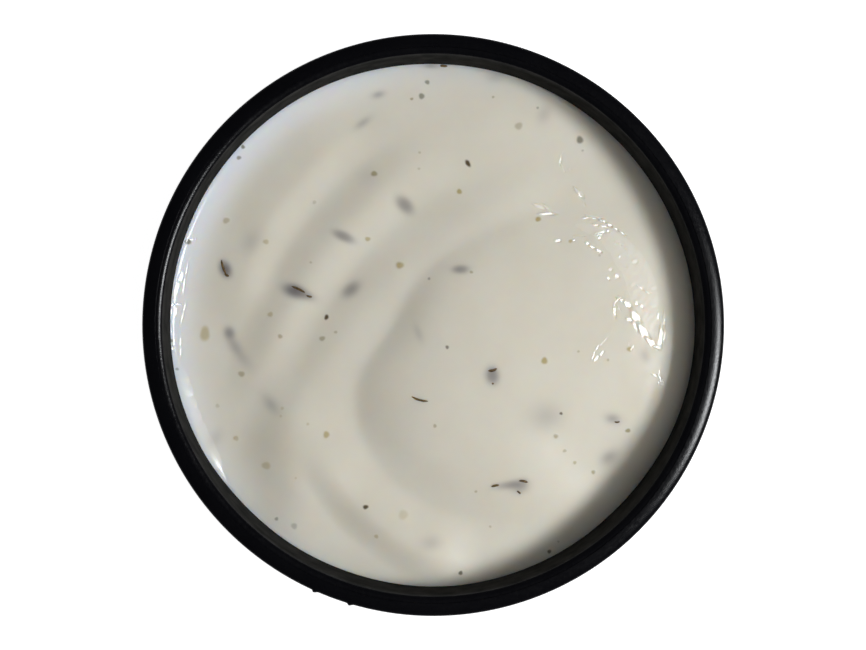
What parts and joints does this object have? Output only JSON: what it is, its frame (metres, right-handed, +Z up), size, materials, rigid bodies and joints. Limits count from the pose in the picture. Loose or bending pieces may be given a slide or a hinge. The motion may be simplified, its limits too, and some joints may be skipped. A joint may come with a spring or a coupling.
{
  "type": "bowl of black pepper mayonnaise",
  "caption": "Small round black dip bowl with a foot ring, filled with pale glossy mayonnaise with dark pepper flakes; the top has a low mound and soft folds.",
  "frame": {"origin": "middle of the foot ring's flat underside, on the table", "axes": "+Z up along the bowl's axis, out of its mouth; +X towards the side where the mound of mayonnaise thins away; +Y completes the right-handed frame"},
  "size_m": [0.08, 0.08, 0.036],
  "materials": {
    "bowl_black": "satin black melamine, roughness about 0.32",
    "mayonnaise_cream": "pale cream, glossy and slightly translucent, with dark pepper flakes",
    "pepper_husk": "dark brown to black husk slivers lying in the mayonnaise",
    "cracked_pepper": "olive to yellow grains of cracked pepper and herb"
  },
  "bodies": {
    "root": {"bowl": "bowl_black", "mayonnaise": "mayonnaise_cream"}
  },
  "joints": []
}
